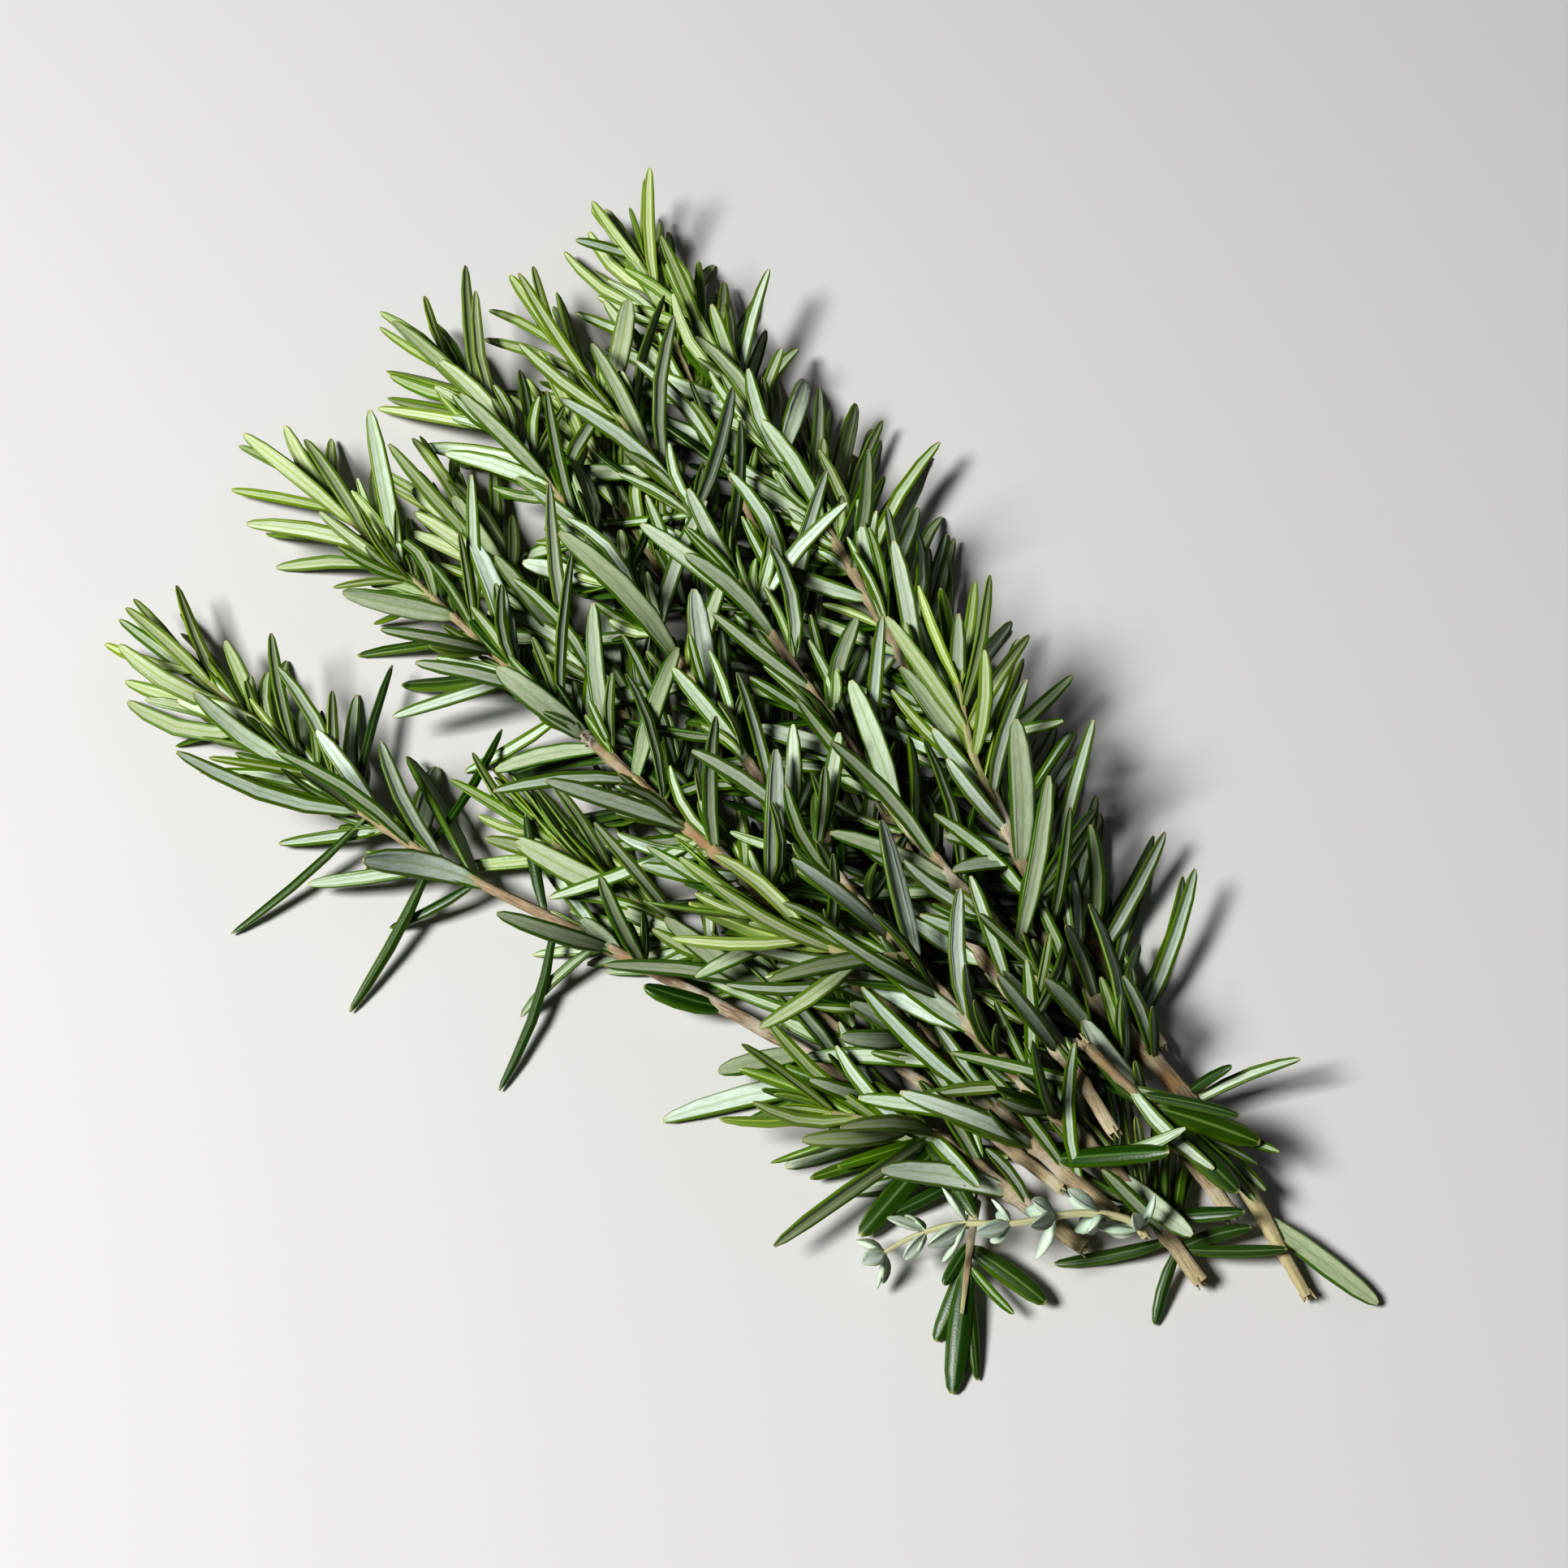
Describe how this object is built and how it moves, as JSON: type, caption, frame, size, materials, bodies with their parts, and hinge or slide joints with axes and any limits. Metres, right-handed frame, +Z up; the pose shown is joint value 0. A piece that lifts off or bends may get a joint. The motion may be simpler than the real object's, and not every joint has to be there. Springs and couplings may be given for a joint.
{
  "type": "rosemary bundle",
  "caption": "Loose, untied bunch of cut rosemary lying on a surface: leafy sprigs with their cut ends together and their tips fanned out, and a short thyme sprig across the cut ends.",
  "frame": {"origin": "on the supporting surface, at the middle of the flat spot where the lowest stem lies, close to the bundle's centre of mass", "axes": "+X along the bundle from the cut ends to the growing tips, +Z up from the surface"},
  "size_m": [0.2866, 0.1772, 0.0431],
  "materials": {
    "rosemary_leaf": "matte",
    "rosemary_bark": "matte",
    "thyme_leaf": "matte"
  },
  "bodies": {
    "root": {"sprig_middle": "rosemary_leaf", "sprig_centre": "rosemary_leaf", "sprig_right": "rosemary_leaf", "sprig_left": "rosemary_leaf", "sprig_outer_left": "rosemary_leaf", "sprig_far": "rosemary_leaf", "shoot_over_cut_ends": "rosemary_leaf", "shoot_below_cut_ends": "rosemary_leaf", "sprig_under_left": "rosemary_leaf", "sprig_under_middle": "rosemary_leaf", "sprig_under_centre": "rosemary_leaf", "sprig_under_right": "rosemary_leaf", "thyme_sprig": "thyme_leaf"}
  },
  "joints": []
}
